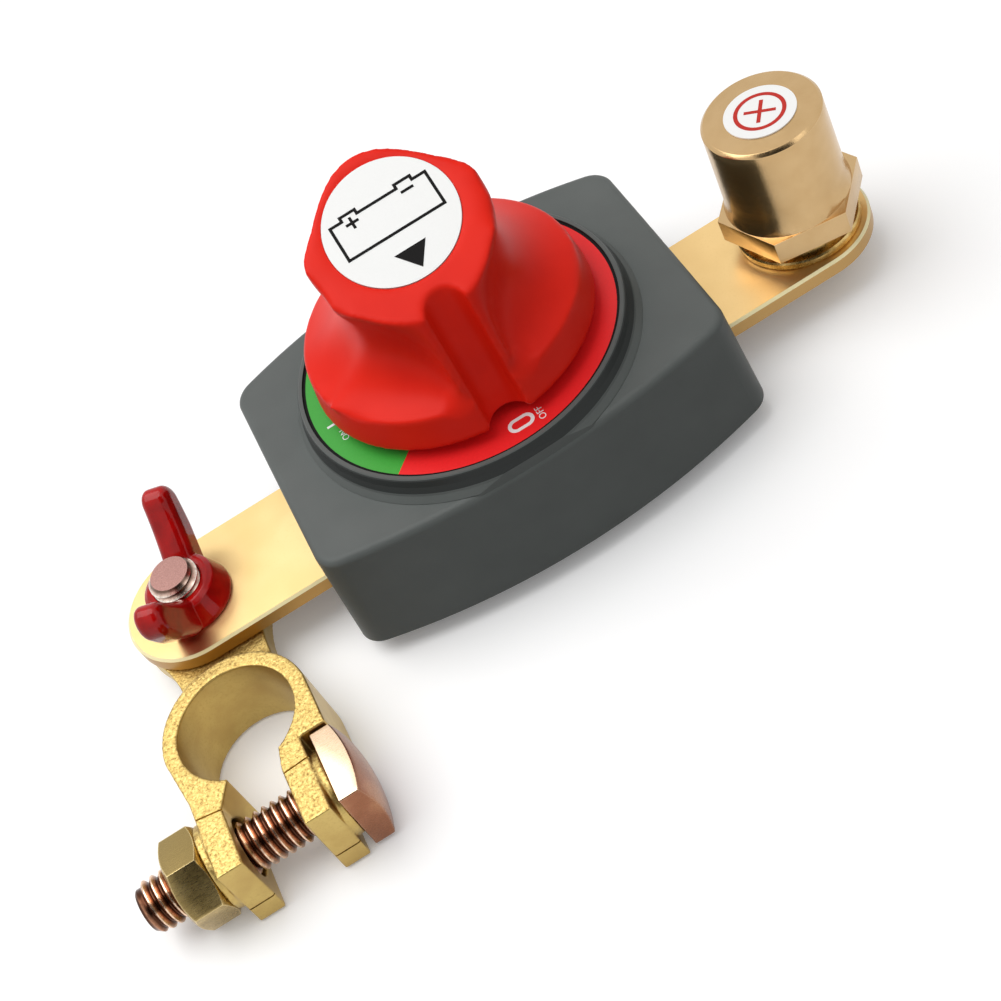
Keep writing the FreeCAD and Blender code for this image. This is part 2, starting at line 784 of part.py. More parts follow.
def make_terminal_clamp():
    outline = clamp_outline()
    outline.translate(Vector(0, 0, ring_bottom))
    body = outline.extrude(Vector(0, 0, ring_height))
    body = body.fuse(clamp_tongue()).fuse(clamp_web())
    for face, outward in ((left_face - jaw_thickness, -1), (right_face + jaw_thickness, 1)):
        pad = Part.makeCylinder(pad_radius, pad_height, Vector(face, bolt_y, bolt_z), ALONG_X * outward)
        body = body.fuse(pad)
    span = head_seat - nut_seat + 2 * past
    hole_start = Vector(nut_seat - past, bolt_y, bolt_z)
    body = body.cut(Part.makeCylinder(jaw_hole_radius, span, hole_start, ALONG_X))
    stud_hole = stud_corner_radius + fit_clearance
    body = body.cut(cylinder(stud_hole, tongue_bottom - past, tongue_top + past, -input_reach))
    return body.removeSplitter()


# Clamp bolt with a square domed head, and its hexagon nut
def make_clamp_bolt():
    half = bolt_head_square / 2
    head_end = head_seat + bolt_head_height
    low = Vector(head_seat, bolt_y - half, bolt_z - half)
    head = block(low, Vector(head_end, bolt_y + half, bolt_z + half))
    head = head.common(Part.makeSphere(bolt_head_dome, Vector(head_end - bolt_head_dome, bolt_y, bolt_z)))
    start = Vector(nut_seat - nut_height - bolt_tail, bolt_y, bolt_z)
    thread = start + ALONG_X * thread_chamfer
    shank = Part.makeCylinder(bolt_radius, head_seat - thread.x, thread, ALONG_X)
    tip = Part.makeCone(bolt_radius - thread_chamfer, bolt_radius, thread_chamfer, start, ALONG_X)
    return head.fuse([shank, tip]).removeSplitter()


def make_clamp_nut():
    nut = hexagon(nut_flats, 0, nut_height, 0, nut_turn_deg)
    side = nut_flats / 2 - nut_chamfer
    spread = side + nut_height / math.tan(math.radians(hex_chamfer_deg))
    nut = nut.common(cone(side, spread, 0, nut_height)).common(cone(spread, side, 0, nut_height))
    nut = nut.cut(cylinder(bolt_radius + fit_clearance, -past, nut_height + past))
    nut.rotate(Vector(0, 0, 0), Vector(0, 1, 0), -90)
    nut.translate(Vector(nut_seat - fit_clearance, bolt_y, bolt_z))
    return nut


os.makedirs("parts", exist_ok=True)
save(make_housing(), "housing")
save(make_base_cover(), "base_cover")
save(make_cover_screws(), "cover_screws")
save(make_dial(green_from_deg, green_span_deg), "dial_green")
save(make_dial(green_from_deg + green_span_deg, 360 - green_span_deg), "dial_red")
save(make_input_bar(), "input_bar")
save(make_output_bar(), "output_bar")
save(make_rotor(), "rotor")
save(make_contact_bridge(), "contact_bridge")
save(make_contact_spring(), "contact_spring")
save(make_shaft_seal(), "shaft_seal")
save(make_knob(), "knob")
save(make_knob_label(), "knob_label")
save(make_knob_screw(), "knob_screw")
save(make_terminal_post(), "terminal_post")
save(make_post_label(), "post_label")
save(make_spring_washer(), "post_spring_washer")
save(make_flat_washer(), "post_flat_washer")
save(make_post_bolt(), "post_bolt")
save(make_clamp_stud(), "clamp_stud")
save(make_wing_nut(), "wing_nut")
save(make_terminal_clamp(), "terminal_clamp")
save(make_clamp_bolt(), "clamp_bolt")
save(make_clamp_nut(), "clamp_nut")
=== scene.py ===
import math
import bpy
from mathutils import Matrix, Vector


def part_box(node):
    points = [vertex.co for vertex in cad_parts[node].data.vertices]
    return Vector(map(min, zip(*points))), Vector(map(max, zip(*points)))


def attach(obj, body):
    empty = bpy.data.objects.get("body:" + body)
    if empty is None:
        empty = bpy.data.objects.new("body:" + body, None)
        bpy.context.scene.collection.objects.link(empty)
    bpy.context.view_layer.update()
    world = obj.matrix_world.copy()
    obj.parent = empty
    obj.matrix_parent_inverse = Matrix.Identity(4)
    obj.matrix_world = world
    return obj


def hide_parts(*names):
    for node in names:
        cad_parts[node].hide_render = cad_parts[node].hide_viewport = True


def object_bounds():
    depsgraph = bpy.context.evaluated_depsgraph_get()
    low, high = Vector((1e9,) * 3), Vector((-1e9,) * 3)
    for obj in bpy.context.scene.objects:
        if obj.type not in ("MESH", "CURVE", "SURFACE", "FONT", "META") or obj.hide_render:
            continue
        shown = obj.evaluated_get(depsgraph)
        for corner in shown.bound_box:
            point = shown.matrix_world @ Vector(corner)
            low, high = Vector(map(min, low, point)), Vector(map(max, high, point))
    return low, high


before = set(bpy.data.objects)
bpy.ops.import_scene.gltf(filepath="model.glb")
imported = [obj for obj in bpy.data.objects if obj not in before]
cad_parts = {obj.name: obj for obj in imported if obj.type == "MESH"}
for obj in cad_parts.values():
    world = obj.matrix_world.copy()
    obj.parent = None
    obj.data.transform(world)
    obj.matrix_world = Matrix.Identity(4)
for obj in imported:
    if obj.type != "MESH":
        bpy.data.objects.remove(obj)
cadLow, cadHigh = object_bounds()
mm = 0.001


# small helpers for modelling
def clearSelection():
    if bpy.context.mode != "OBJECT":
        objectMode()
    bpy.ops.object.select_all(action="DESELECT")


def useOnly(*pieces):
    clearSelection()
    for piece in pieces:
        piece.select_set(True)
    bpy.context.view_layer.objects.active = pieces[0]


def newest(name):
    piece = bpy.context.object
    piece.name = name
    piece.data.name = name
    return piece


def objectMode():
    bpy.ops.object.mode_set(mode="OBJECT")


def editAll(piece):  # edit mode with everything selected
    useOnly(piece)
    bpy.ops.object.mode_set(mode="EDIT")
    bpy.ops.mesh.select_all(action="SELECT")


def applyModifier(piece, kind, **settings):
    useOnly(piece)
    modifier = piece.modifiers.new(kind.title(), kind)
    for key, value in settings.items():
        setattr(modifier, key, value)
    bpy.ops.object.modifier_apply(modifier=modifier.name)


def join(name, *pieces):
    useOnly(*pieces)
    bpy.ops.object.join()
    return newest(name)


mergeGap = 0.001 * mm
cutGap = 0.0001 * mm


def copyNode(node, name):  # a copy of a node's mesh with its loose triangles merged
    clearSelection()
    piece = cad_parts[node].copy()
    piece.data = piece.data.copy()
    bpy.context.collection.objects.link(piece)
    piece.parent = None
    piece.matrix_world = Matrix.Identity(4)
    useOnly(piece)
    bpy.ops.mesh.customdata_custom_splitnormals_clear()
    editAll(piece)
    bpy.ops.mesh.remove_doubles(threshold=mergeGap)
    bpy.ops.mesh.tris_convert_to_quads(face_threshold=math.radians(1), shape_threshold=math.radians(60))
    objectMode()
    return newest(name)


def finishPiece(piece, body, material, nodes=(), angle=35):
    useOnly(piece)
    bpy.ops.object.transform_apply(location=True, rotation=True, scale=True)
    bpy.ops.object.shade_smooth_by_angle(angle=math.radians(angle))
    piece.data.materials.clear()
    piece.data.materials.append(material)
    if nodes:
        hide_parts(*nodes)
    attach(piece, body)


def paintNode(node, material):
    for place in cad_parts[node].material_slots:
        place.material = material


# small helpers for materials
def screenColour(red, green, blue):  # 0 to 255, as on a screen
    shares = [value / 255 for value in (red, green, blue)]
    linear = [share / 12.92 if share <= 0.04045 else ((share + 0.055) / 1.055) ** 2.4 for share in shares]
    return (*linear, 1.0)


def screenColours(*triples):
    return [screenColour(*triple) for triple in triples]


def startMaterial(name, colour, roughness, metallic=0.0):
    material = bpy.data.materials.new(name)
    material.use_nodes = True
    tree = material.node_tree
    shader = tree.nodes["Principled BSDF"]
    shader.inputs["Base Color"].default_value = colour
    shader.inputs["Roughness"].default_value = roughness
    shader.inputs["Metallic"].default_value = metallic
    place = tree.nodes.new("ShaderNodeTexCoord").outputs["Object"]
    return material, tree, shader, place


def stretched(tree, place, scale):
    mapping = tree.nodes.new("ShaderNodeMapping")
    mapping.inputs["Scale"].default_value = scale
    tree.links.new(place, mapping.inputs["Vector"])
    return mapping.outputs["Vector"]


def noise(tree, place, size, detail=3.0, rough=0.55, distortion=0.0):  # size of a grain in millimetres
    node = tree.nodes.new("ShaderNodeTexNoise")
    node.inputs["Scale"].default_value = 1 / (size * mm)
    node.inputs["Detail"].default_value = detail
    node.inputs["Roughness"].default_value = rough
    node.inputs["Distortion"].default_value = distortion
    tree.links.new(place, node.inputs["Vector"])
    return node.outputs["Fac"]


def ramp(tree, value, *stops):  # stops are (position, colour) pairs
    node = tree.nodes.new("ShaderNodeValToRGB")
    while len(node.color_ramp.elements) < len(stops):
        node.color_ramp.elements.new(0.5)
    for element, (position, colour) in zip(node.color_ramp.elements, stops):
        element.position = position
        element.color = colour
    tree.links.new(value, node.inputs["Fac"])
    return node.outputs["Color"]


def mathNode(tree, operation, first, second):
    node = tree.nodes.new("ShaderNodeMath")
    node.operation = operation
    for socket, value in zip(node.inputs, (first, second)):
        if isinstance(value, (int, float)):
            socket.default_value = value
        else:
            tree.links.new(value, socket)
    return node.outputs["Value"]


def bump(tree, shader, height, depth, strength):  # depth in millimetres
    node = tree.nodes.new("ShaderNodeBump")
    node.inputs["Distance"].default_value = depth * mm
    node.inputs["Strength"].default_value = strength
    tree.links.new(height, node.inputs["Height"])
    tree.links.new(node.outputs["Normal"], shader.inputs["Normal"])


def grey(level):
    return (level, level, level, 1.0)


def between(tree, factor, low, high):  # a number that runs from low to high as the factor goes from 0 to 1
    node = tree.nodes.new("ShaderNodeMapRange")
    node.inputs["To Min"].default_value = low
    node.inputs["To Max"].default_value = high
    tree.links.new(factor, node.inputs["Value"])
    return node.outputs["Result"]


def mixColour(tree, factor, low, high):  # low and high are colours or sockets
    node = tree.nodes.new("ShaderNodeMix")
    node.data_type = "RGBA"
    tree.links.new(factor, node.inputs["Factor"])
    for socket, value in ((node.inputs["A"], low), (node.inputs["B"], high)):
        if isinstance(value, tuple):
            socket.default_value = value
        else:
            tree.links.new(value, socket)
    return node.outputs["Result"]


def mixShaders(tree, factor, first, second, output):
    mixed = tree.nodes.new("ShaderNodeMixShader")
    tree.links.new(factor, mixed.inputs["Fac"])
    tree.links.new(first, mixed.inputs[1])
    tree.links.new(second, mixed.inputs[2])
    tree.links.new(mixed.outputs["Shader"], tree.nodes[output].inputs["Surface"])


def distance(tree, vector):
    node = tree.nodes.new("ShaderNodeVectorMath")
    node.operation = "LENGTH"
    tree.links.new(vector, node.inputs[0])
    return node.outputs["Value"]


def part(tree, vector, axis):
    parts = tree.nodes.new("ShaderNodeSeparateXYZ")
    tree.links.new(vector, parts.inputs["Vector"])
    return parts.outputs[axis]


def looking(tree, axis):  # how far a face looks along the axis, from -1 to 1
    return part(tree, tree.nodes.new("ShaderNodeNewGeometry").outputs["Normal"], axis)


def upShare(tree, start, end):  # 0 on walls, 1 on faces that look up
    return ramp(tree, looking(tree, "Z"), (start, grey(0)), (end, grey(1)))


def peak(tree, *stops):  # 1 on faces whose tilt lies between the two middle stops
    return ramp(tree, looking(tree, "Z"), *zip(stops, (grey(0), grey(1), grey(1), grey(0))))


# finishes: sizes and depths of grain are in millimetres, colours are screen values
plastic = {"cloudSize": 9.0, "smoother": 0.05, "rougher": 0.07, "depth": 0.02}


def mouldedPlastic(name, colour, shade, roughness, grain, gloss=0.3, shadeBand=None):
    colour, shade = screenColours(colour, shade)
    material, tree, shader, place = startMaterial(name, colour, roughness)
    shader.inputs["Specular IOR Level"].default_value = gloss
    tone = ramp(tree, noise(tree, place, plastic["cloudSize"], 2.0), (0.3, shade), (0.7, colour))
    if shadeBand:  # a painted shade: a darker belt between two heights
        height = part(tree, place, "Z")
        above = mathNode(tree, "GREATER_THAN", height, shadeBand["low"])
        below = mathNode(tree, "LESS_THAN", height, shadeBand["high"])
        tone = mixColour(tree, mathNode(tree, "MULTIPLY", above, below), tone, screenColour(*shadeBand["colour"]))
    tree.links.new(tone, shader.inputs["Base Color"])
    fine = noise(tree, place, grain, 2.0)
    spread = between(tree, fine, roughness - plastic["smoother"], roughness + plastic["rougher"])
    tree.links.new(spread, shader.inputs["Roughness"])
    bump(tree, shader, fine, plastic["depth"], 0.55)
    return material


rolled = {
    "driftSize": 14.0, "speckSize": 0.5, "patchSize": 3.0, "lineSize": 0.12, "lineStretch": (0.04, 1.0, 1.0),
    "depth": 0.006, "topTilt": (0.85, 0.98), "glintTilt": (0.45, 0.62, 0.8, 0.95), "glint": (255, 242, 190),
}


def rolledBrass(name, colour, shade, edge):  # the walls are darker, a painted shade, and the chamfers carry a bright painted highlight
    colour, shade, edge, glint = screenColours(colour, shade, edge, rolled["glint"])
    material, tree, shader, place = startMaterial(name, colour, 0.24, 1.0)
    drift = noise(tree, place, rolled["driftSize"], 2.0)
    speck = noise(tree, place, rolled["speckSize"], 4.0, 0.7)
    tone = ramp(tree, drift, (0.3, shade), (0.65, colour))
    tone = mixColour(tree, ramp(tree, speck, (0.3, grey(0.35)), (0.45, grey(0))), tone, shade)
    # faces that don't look up take the edge colour: a painted shade on the walls
    tone = mixColour(tree, upShare(tree, *rolled["topTilt"]), edge, tone)
    # the chamfers take the glint colour, a painted highlight, and are made less metallic so it shows
    glintShare = peak(tree, *rolled["glintTilt"])
    tree.links.new(mixColour(tree, glintShare, tone, glint), shader.inputs["Base Color"])
    tree.links.new(between(tree, glintShare, 1.0, 0.1), shader.inputs["Metallic"])
    lines = noise(tree, stretched(tree, place, rolled["lineStretch"]), rolled["lineSize"], 2.0)
    patches = noise(tree, place, rolled["patchSize"], 3.0)
    dull = mathNode(tree, "MULTIPLY", lines, patches)
    tree.links.new(between(tree, dull, 0.3, 0.5), shader.inputs["Roughness"])
    bump(tree, shader, lines, rolled["depth"], 0.5)
    return material


sandCast = {
    "sandSize": 0.42, "cloudSize": 6.0, "depth": 0.12, "topTilt": (0.55, 0.85), "glint": (224, 200, 130),
}


def castBrass(name, top, side, dark):  # sandy where it looks up, with painted glints on the sand; smoother on its walls, which carry a painted shade that makes them darker
    top, side, dark, glint = screenColours(top, side, dark, sandCast["glint"])
    material, tree, shader, place = startMaterial(name, top, 0.4, 1.0)
    topShare = upShare(tree, *sandCast["topTilt"])
    sand = noise(tree, place, sandCast["sandSize"], 3.0, 0.6, 0.5)
    topTone = ramp(tree, sand, (0.32, dark), (0.45, side), (0.55, top), (0.72, glint))
    sideTone = ramp(tree, noise(tree, place, sandCast["cloudSize"], 2.0), (0.3, side), (0.6, top))
    fine = mixColour(tree, ramp(tree, sand, (0.36, grey(0.5)), (0.5, grey(0))), sideTone, side)
    # walls take the darker side colour, a painted shade, and upward faces the lighter top colour
    tree.links.new(mixColour(tree, topShare, fine, topTone), shader.inputs["Base Color"])
    tree.links.new(between(tree, topShare, 0.36, 0.42), shader.inputs["Roughness"])
    grain = mathNode(tree, "MULTIPLY", sand, between(tree, topShare, 0.1, 1.0))
    bump(tree, shader, grain, sandCast["depth"], 0.7)
    return material


turned = {
    "driftSize": 5.0, "ringSize": 0.1, "ringStretch": (0.02, 0.02, 1.0), "speckSize": 0.3, "depth": 0.02,
}


def turnedBrass(name, colour, shade):
    colour, shade = screenColours(colour, shade)
    material, tree, shader, place = startMaterial(name, colour, 0.2, 1.0)
    drift = noise(tree, place, turned["driftSize"], 3.0)
    tree.links.new(ramp(tree, drift, (0.3, shade), (0.6, colour)), shader.inputs["Base Color"])
    rings = noise(tree, stretched(tree, place, turned["ringStretch"]), turned["ringSize"], 2.0)
    speck = noise(tree, place, turned["speckSize"], 3.0)
    tree.links.new(between(tree, speck, 0.13, 0.3), shader.inputs["Roughness"])
    fine = mathNode(tree, "ADD", rings, mathNode(tree, "MULTIPLY", speck, 0.8))
    bump(tree, shader, fine, turned["depth"], 0.6)
    return material


zinc = {
    "edgeRadius": 0.3 * mm, "edgeSamples": 6, "topTilt": (0.75, 0.95), "smoother": 0.06, "rougher": 0.12,
    "scratchSize": 0.16, "scratchStretch": (0.15, 1.0, 0.4), "depth": 0.008,
}


def edgeHighlightShare(tree):  # 1 along sharp edges, 0 on the faces between them; it carries a painted highlight along the edges
    rounded = tree.nodes.new("ShaderNodeBevel")
    rounded.samples = zinc["edgeSamples"]
    rounded.inputs["Radius"].default_value = zinc["edgeRadius"]
    match = tree.nodes.new("ShaderNodeVectorMath")
    match.operation = "DOT_PRODUCT"
    tree.links.new(rounded.outputs["Normal"], match.inputs[0])
    tree.links.new(tree.nodes.new("ShaderNodeNewGeometry").outputs["True Normal"], match.inputs[1])
    return ramp(tree, match.outputs["Value"], (0.86, grey(1)), (0.98, grey(0)))


def zincPlate(name, first, second, third, roughness, cloudSize=3.0, top=None, edge=None):
    first, second, third = screenColours(first, second, third)
    material, tree, shader, place = startMaterial(name, second, roughness, 1.0)
    cloud = noise(tree, place, cloudSize, 3.0, 0.5)
    tone = ramp(tree, cloud, (0.3, first), (0.5, second), (0.7, third))
    # faces that look up take the top colour, which paints light on them: a painted highlight on the head, a
    # painted shade on the nut
    if top:
        tone = mixColour(tree, upShare(tree, *zinc["topTilt"]), tone, screenColour(*top))
    # the edges take the edge colour, a painted highlight along them
    if edge:
        tone = mixColour(tree, edgeHighlightShare(tree), tone, screenColour(*edge))
    tree.links.new(tone, shader.inputs["Base Color"])
    scratch = noise(tree, stretched(tree, place, zinc["scratchStretch"]), zinc["scratchSize"], 3.0)
    spread = between(tree, scratch, roughness - zinc["smoother"], roughness + zinc["rougher"])
    tree.links.new(spread, shader.inputs["Roughness"])
    bump(tree, shader, scratch, zinc["depth"], 0.5)
    return material


rolledThread = {"root": 3.3 * mm, "crest": 4.0 * mm, "cloudSize": 0.9, "scratchSize": 0.2, "depth": 0.01}


def threadPlate(name, node, axis, valley, flank, crest, face):  # painted shade towards the thread's root and a painted highlight on its crests
    valley, flank, crest, face = screenColours(valley, flank, crest, face)
    material, tree, shader, place = startMaterial(name, flank, 0.24, 1.0)
    centred = tree.nodes.new("ShaderNodeVectorMath")
    centred.operation = "SUBTRACT"
    centred.inputs[1].default_value = tuple(middleOf(node))
    tree.links.new(place, centred.inputs[0])
    flatten = tuple(0.0 if axis == letter else 1.0 for letter in "XYZ")
    reach = tree.nodes.new("ShaderNodeMapRange")
    reach.inputs["From Min"].default_value = rolledThread["root"]
    reach.inputs["From Max"].default_value = rolledThread["crest"]
    across = stretched(tree, centred.outputs["Vector"], flatten)
    tree.links.new(distance(tree, across), reach.inputs["Value"])
    # the valleys are painted dark as shade, the crests painted light as a highlight
    tone = ramp(tree, reach.outputs["Result"], (0.1, valley), (0.55, flank), (0.9, crest))
    cloud = noise(tree, place, rolledThread["cloudSize"], 4.0, 0.7)
    tone = mixColour(tree, ramp(tree, cloud, (0.35, grey(0.5)), (0.6, grey(0))), tone, valley)
    ends = mathNode(tree, "ABSOLUTE", looking(tree, axis), 0.0)
    flat = ramp(tree, ends, (0.85, grey(0)), (0.95, grey(1)))
    tree.links.new(mixColour(tree, flat, tone, face), shader.inputs["Base Color"])
    scratch = noise(tree, place, rolledThread["scratchSize"], 3.0)
    tree.links.new(between(tree, scratch, 0.16, 0.34), shader.inputs["Roughness"])
    bump(tree, shader, scratch, rolledThread["depth"], 0.5)
    return material


paint = {"coat": 0.4, "coatRoughness": 0.05, "gloss": 0.08, "poolSize": 3.2, "waveSize": 1.8, "depth": 0.08}


def thickPaint(name, colour, shade):
    colour, shade = screenColours(colour, shade)
    material, tree, shader, place = startMaterial(name, colour, 0.2)
    shader.inputs["Coat Weight"].default_value = paint["coat"]
    shader.inputs["Coat Roughness"].default_value = paint["coatRoughness"]
    shader.inputs["Specular IOR Level"].default_value = paint["gloss"]
    pool = noise(tree, place, paint["poolSize"], 2.0)
    tree.links.new(ramp(tree, pool, (0.35, shade), (0.6, colour)), shader.inputs["Base Color"])
    bump(tree, shader, noise(tree, place, paint["waveSize"], 2.0), paint["depth"], 0.5)
    return material


printed = {"grain": 0.35, "smoother": 0.04, "rougher": 0.06, "depth": 0.002}


def printedPlate(name, colour, roughness, speckle=0.04, gloss=0.3):
    colour = screenColour(*colour)
    material, tree, shader, place = startMaterial(name, colour, roughness)
    shader.inputs["Specular IOR Level"].default_value = gloss
    fine = noise(tree, place, printed["grain"], 2.0)
    darker = tuple(channel * (1 - speckle) for channel in colour[:3]) + (1.0,)
    tree.links.new(ramp(tree, fine, (0.35, darker), (0.6, colour)), shader.inputs["Base Color"])
    spread = between(tree, fine, roughness - printed["smoother"], roughness + printed["rougher"])
    tree.links.new(spread, shader.inputs["Roughness"])
    bump(tree, shader, fine, printed["depth"], 0.3)
    return material


def middleOf(node):
    low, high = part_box(node)
    return (low + high) / 2


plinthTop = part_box("housing")[1].z
# a painted shade on the plinth's wall, which is made darker between these heights
plinthShadeBelt = {"low": plinthTop - 2.4 * mm, "high": plinthTop - 0.15 * mm, "colour": (50, 53, 52)}
# in these thread colours the valley is a painted shade and the crest a painted highlight
brownPlate = {
    "valley": (78, 48, 34), "flank": (196, 142, 110), "crest": (254, 220, 192), "face": (160, 112, 88),
}
pinkPlate = {
    "valley": (116, 92, 80), "flank": (224, 194, 178), "crest": (250, 242, 230), "face": (168, 127, 119),
}
finishes = {
    "charcoal": mouldedPlastic(
        "charcoalPlastic", (93, 97, 95), (88, 92, 90),
        roughness=0.42, grain=0.22, gloss=0.18, shadeBand=plinthShadeBelt),
    "cover": mouldedPlastic("coverPlastic", (66, 70, 70), (60, 64, 64), roughness=0.5, grain=0.3),
    "redKnob": mouldedPlastic(
        "redPlastic", (229, 36, 18), (222, 31, 15), roughness=0.38, grain=0.2, gloss=0.13),
    "rotor": mouldedPlastic("naturalPlastic", (190, 184, 166), (180, 174, 156), roughness=0.5, grain=0.3),
    "rubber": mouldedPlastic("sealRubber", (28, 28, 29), (22, 22, 23), roughness=0.6, grain=0.3),
    # each bar's edge colour is the painted shade on its walls
    "leftBar": rolledBrass("leftRolledBrass", (231, 201, 144), (216, 185, 124), edge=(172, 134, 78)),
    "rightBar": rolledBrass("rightRolledBrass", (232, 198, 138), (216, 180, 120), edge=(184, 148, 94)),
    "cast": castBrass("castBrass", top=(200, 174, 106), side=(184, 155, 92), dark=(134, 108, 60)),
    "post": turnedBrass("turnedBrass", (202, 170, 124), (195, 162, 115)),
    "bolt": threadPlate("boltThread", "clamp_bolt", "X", **brownPlate),
    # the head's top colour is a painted highlight, its edge colour a painted highlight along the edges
    "head": zincPlate(
        "headZinc", (136, 88, 62), (150, 100, 74), (172, 124, 92), roughness=0.24, cloudSize=6.0,
        top=(226, 196, 164), edge=(252, 230, 206)),
    # the nut's top colour is a painted shade, its edge colour a painted highlight along the edges
    "nut": zincPlate(
        "nutZinc", (152, 130, 80), (174, 150, 96), (196, 172, 116), roughness=0.25, cloudSize=4.0,
        top=(156, 134, 84), edge=(250, 228, 172)),
    "stud": threadPlate("studThread", "clamp_stud", "Z", **pinkPlate),
    "washer": zincPlate(
        "washerZinc", (150, 120, 66), (184, 152, 92), (216, 188, 128), roughness=0.24, cloudSize=2.0),
    "steel": zincPlate("plainZinc", (172, 176, 180), (190, 193, 196), (208, 210, 212), roughness=0.28),
    "wing": thickPaint("wingPaint", (180, 8, 6), (154, 6, 5)),
    "green": printedPlate("greenPrint", (64, 166, 60), roughness=0.4),
    "red": printedPlate("redPrint", (238, 36, 38), roughness=0.4),
    "white": printedPlate("whiteLabel", (240, 240, 238), roughness=0.34, speckle=0.01),
    "whiteInk": printedPlate("whiteInk", (240, 240, 240), roughness=0.4, speckle=0.02),
    "blackInkAndShadow": printedPlate("blackInkAndShadow", (16, 14, 14), roughness=0.45, speckle=0.2, gloss=0.08),
    "redInk": printedPlate("redInk", (190, 36, 22), roughness=0.4, speckle=0.1),
}

nodeFinishes = {
    "housing": "charcoal", "base_cover": "cover", "cover_screws": "steel",
    "dial_green": "green", "dial_red": "red",
    "input_bar": "leftBar", "output_bar": "rightBar",
    "rotor": "rotor", "contact_bridge": "leftBar", "contact_spring": "steel", "shaft_seal": "rubber",
    "knob": "redKnob", "knob_label": "white", "knob_screw": "steel",
    "terminal_post": "post", "post_label": "white",
    "post_spring_washer": "washer", "post_flat_washer": "washer", "post_bolt": "washer",
    "clamp_stud": "stud", "wing_nut": "wing", "terminal_clamp": "cast",
    "clamp_bolt": "bolt", "clamp_nut": "nut",
}
for node, finishName in nodeFinishes.items():
    paintNode(node, finishes[finishName])
print("finishes made")


# drawing helpers
ink = {"thickness": 0.03 * mm, "lift": 0.01 * mm, "letterScale": 1.38, "letterSteps": 4}


def drawChain(name, points):  # a chain of edges through the points
    clearSelection()
    bpy.ops.mesh.primitive_plane_add(size=mm)
    piece = newest(name)
    editAll(piece)
    bpy.ops.mesh.merge(type="CENTER")
    bpy.ops.transform.translate(value=points[0])
    for start, stop in zip(points, points[1:]):
        bpy.ops.mesh.extrude_vertices_move(TRANSFORM_OT_translate={"value": stop - start})
    objectMode()
    return piece


def inkShape(name, points, stroke=0.0):  # flat ink on z = 0, filled or as an outline of the given stroke
    piece = drawChain(name, [Vector((x * mm, y * mm, 0)) for x, y in points])
    editAll(piece)
    bpy.ops.mesh.edge_face_add()
    if stroke:
        bpy.ops.mesh.inset(thickness=stroke * mm)
        bpy.ops.mesh.delete(type="FACE")
    return thicken(piece)


def thicken(piece):  # the flat faces look up, so the ink stands on the plane
    objectMode()
    if piece.data.polygons[0].normal.z < 0:
        editAll(piece)
        bpy.ops.mesh.flip_normals()
        objectMode()
    applyModifier(piece, "SOLIDIFY", thickness=ink["thickness"], offset=1.0)
    outward(piece)
    return piece


def outward(piece):
    editAll(piece)
    bpy.ops.mesh.normals_make_consistent(inside=False)
    objectMode()


def inkBar(name, x, y, length, width, turn=0.0):
    corners = ((-1, -1), (1, -1), (1, 1), (-1, 1))
    piece = inkShape(name, [(across * length / 2, along * width / 2) for across, along in corners])
    moveTo(piece, (x * mm, y * mm, 0), (0, 0, turn))
    return piece


def inkWord(name, word, tall):  # letters are upright along +Y and read along +X
    clearSelection()
    bpy.ops.object.text_add()
    letters = bpy.context.object
    letters.data.body = word
    letters.data.size = tall * ink["letterScale"] * mm
    letters.data.align_x = "CENTER"
    letters.data.align_y = "CENTER"
    letters.data.resolution_u = ink["letterSteps"]
    bpy.ops.object.convert(target="MESH")
    piece = newest(name)
    editAll(piece)
    bpy.ops.mesh.remove_doubles(threshold=mergeGap)
    return thicken(piece)


def moveTo(piece, place, turnDegrees=(0, 0, 0)):
    useOnly(piece)
    piece.rotation_euler = [math.radians(angle) for angle in turnDegrees]
    piece.location = place
    bpy.ops.object.transform_apply(location=True, rotation=True, scale=True)


def cutPlane(piece, place, normal, dropped):  # drops what is ABOVE or BELOW a plane and closes the cut
    editAll(piece)
    bpy.ops.mesh.bisect(
        plane_co=place, plane_no=normal, use_fill=True, threshold=cutGap,
        clear_outer=dropped == "ABOVE", clear_inner=dropped == "BELOW")
    objectMode()


def remeshed(piece, voxel, passes):  # one soft skin, as a moulding or casting has
    useOnly(piece)
    piece.data.remesh_voxel_size = voxel * mm
    piece.data.remesh_voxel_adaptivity = 0.0
    bpy.ops.object.voxel_remesh()
    editAll(piece)
    bpy.ops.mesh.vertices_smooth(factor=0.5, repeat=passes)
    objectMode()
    return piece


def bevelled(piece, width, segments, angle):
    applyModifier(
        piece, "BEVEL", width=width * mm, segments=segments, limit_method="ANGLE",
        angle_limit=math.radians(angle), harden_normals=False)
    return piece


def subtract(piece, cutter):
    applyModifier(piece, "BOOLEAN", object=cutter, operation="DIFFERENCE", solver="EXACT")
    bpy.data.objects.remove(cutter)


